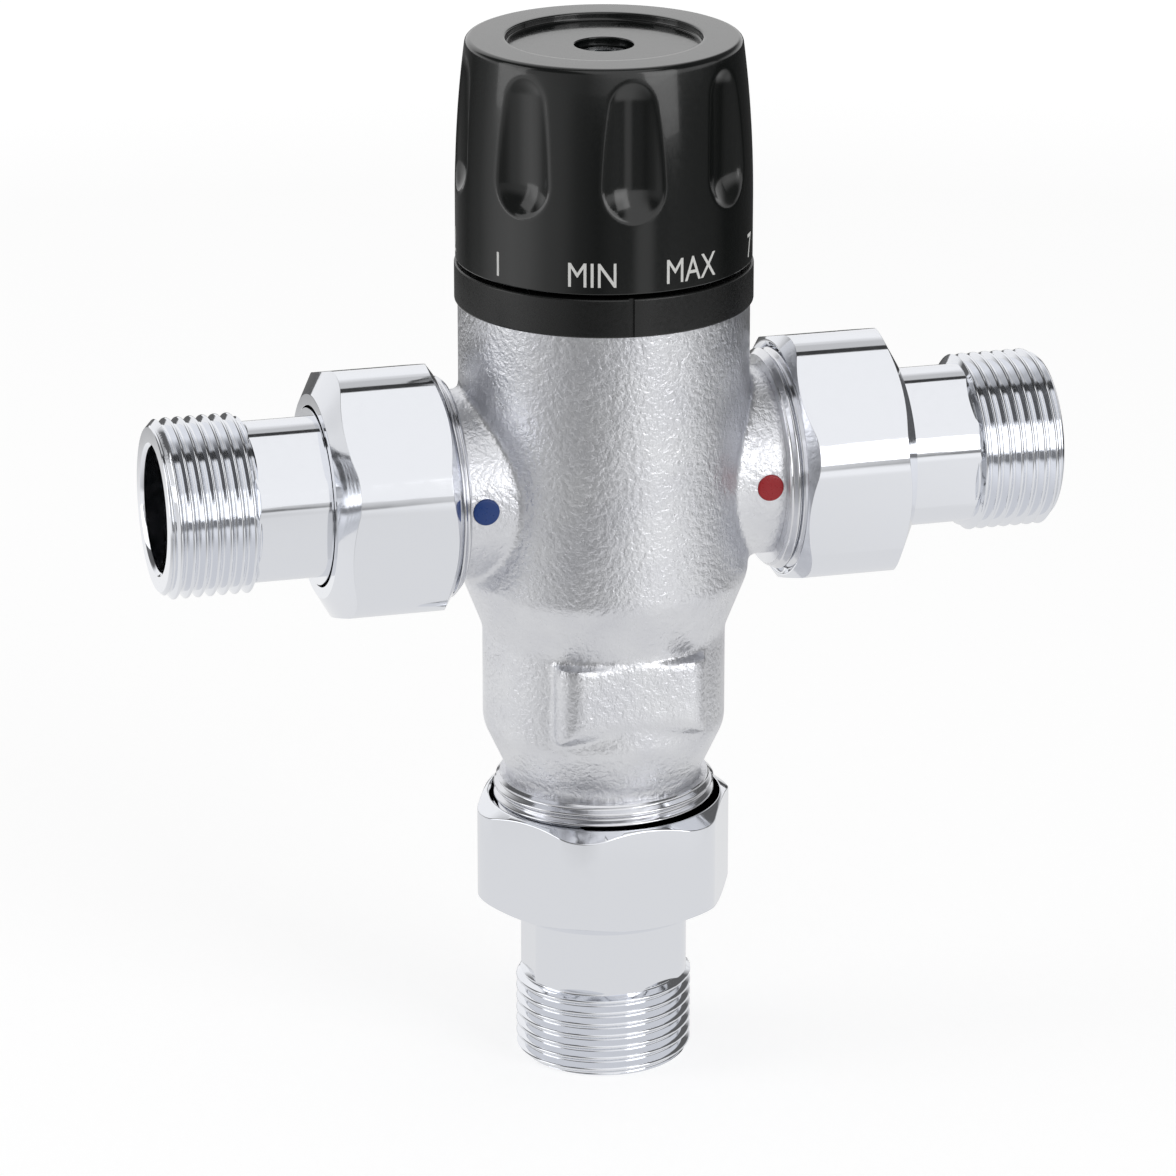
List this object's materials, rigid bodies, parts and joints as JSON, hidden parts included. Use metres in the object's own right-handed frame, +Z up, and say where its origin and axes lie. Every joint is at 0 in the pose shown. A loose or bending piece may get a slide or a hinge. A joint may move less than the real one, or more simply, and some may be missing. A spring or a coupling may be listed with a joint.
{
  "type": "thermostatic mixing valve",
  "caption": "Inline thermostatic water mixing valve: tee-shaped cast body, black dial knob on top, and a union nut with a male threaded tailpiece on the hot, cold and mixed ports.",
  "frame": {"origin": "centre of the outlet tailpiece's end face, which is also the centre of the bounding box's bottom", "axes": "+Z up the valve's axis from the outlet to the knob, +X towards the hot inlet, -X towards the cold inlet, -Y out of the front, where the bare plate and the two colour markers are"},
  "size_m": [0.1354, 0.0438, 0.1576],
  "materials": {
    "blasted_casting": "satin chrome plate over a shot-blasted brass casting",
    "polished_chrome": "polished chrome plate over turned brass",
    "turned_brass": "turned brass",
    "element_brass": "copper-rich brass, bright dipped",
    "spring_steel": "drawn stainless wire and strip",
    "strainer_steel": "pressed stainless sheet",
    "knob_screw_steel": "stainless, machined",
    "seal_rubber": "moulded nitrile",
    "gasket_fibre": "compressed fibre, matt",
    "shutter_plastic": "moulded, glass-filled",
    "check_plastic": "moulded acetal",
    "knob_plastic": "moulded ABS, glossy black with white dial print",
    "ring_plastic": "moulded ABS, semi-gloss black",
    "cold_marker": "moulded stud, glossy blue",
    "hot_marker": "moulded stud, glossy red"
  },
  "bodies": {
    "valve": {"valve_body": "blasted_casting", "bonnet": "turned_brass", "bonnet_oring": "seal_rubber", "lock_ring": "ring_plastic", "return_spring": "spring_steel", "cold_tailpiece": "polished_chrome", "cold_gasket": "gasket_fibre", "hot_tailpiece": "polished_chrome", "hot_gasket": "gasket_fibre", "mixed_tailpiece": "polished_chrome", "mixed_gasket": "gasket_fibre", "cold_check_housing": "check_plastic", "cold_check_guide": "check_plastic", "cold_check_oring": "seal_rubber", "cold_check_spring": "spring_steel", "cold_strainer": "strainer_steel", "cold_marker": "cold_marker", "hot_check_housing": "check_plastic", "hot_check_guide": "check_plastic", "hot_check_oring": "seal_rubber", "hot_check_spring": "spring_steel", "hot_strainer": "strainer_steel", "hot_marker": "hot_marker"},
    "handle": {"knob": "knob_plastic", "knob_screw": "knob_screw_steel", "spindle": "turned_brass", "spindle_oring": "seal_rubber", "spindle_clip": "spring_steel"},
    "pusher": {"pusher_nut": "turned_brass", "pusher_clip": "spring_steel", "overtravel_spring": "spring_steel", "overtravel_cap": "turned_brass", "element_pin": "spring_steel"},
    "element": {"wax_element": "element_brass", "shutter": "shutter_plastic", "shutter_oring": "seal_rubber"},
    "cold_nut": {"cold_union_nut": "polished_chrome"},
    "hot_nut": {"hot_union_nut": "polished_chrome"},
    "mixed_nut": {"mixed_union_nut": "polished_chrome"},
    "cold_poppet": {"cold_check_poppet": "check_plastic", "cold_check_seal": "seal_rubber"},
    "hot_poppet": {"hot_check_poppet": "check_plastic", "hot_check_seal": "seal_rubber"}
  },
  "joints": [
    {"name": "knob_turn", "type": "hinge", "parent": "valve", "child": "handle", "pos_m": [0, 0, 0.1316], "axis": [0, 0, 1], "range_deg": [0, 340]},
    {"name": "pusher_slide", "type": "slide", "parent": "valve", "child": "pusher", "axis": [0, 0, 1], "range_m": [0, 0.00142]},
    {"name": "element_slide", "type": "slide", "parent": "pusher", "child": "element", "axis": [0, 0, -1], "range_m": [0, 0.0016], "stiffness_N_per_m": 2000, "springref_m": -0.005, "deforming": ["return_spring"]},
    {"name": "cold_nut_turn", "type": "hinge", "parent": "valve", "child": "cold_nut", "pos_m": [-0.03535, 0, 0.0916], "axis": [-1, 0, 0], "continuous": true},
    {"name": "hot_nut_turn", "type": "hinge", "parent": "valve", "child": "hot_nut", "pos_m": [0.03535, 0, 0.0916], "axis": [1, 0, 0], "continuous": true},
    {"name": "mixed_nut_turn", "type": "hinge", "parent": "valve", "child": "mixed_nut", "pos_m": [0, 0, 0.03235], "axis": [0, 0, -1], "continuous": true},
    {"name": "cold_check_slide", "type": "slide", "parent": "valve", "child": "cold_poppet", "axis": [1, 0, 0], "range_m": [0, 0.003], "stiffness_N_per_m": 60, "springref_m": -0.01, "deforming": ["cold_check_spring"]},
    {"name": "hot_check_slide", "type": "slide", "parent": "valve", "child": "hot_poppet", "axis": [-1, 0, 0], "range_m": [0, 0.003], "stiffness_N_per_m": 60, "springref_m": -0.01, "deforming": ["hot_check_spring"]}
  ],
  "couplings": [
    {"joint": "knob_turn", "follows": "pusher_slide", "rad_per_m": 4188.8}
  ]
}
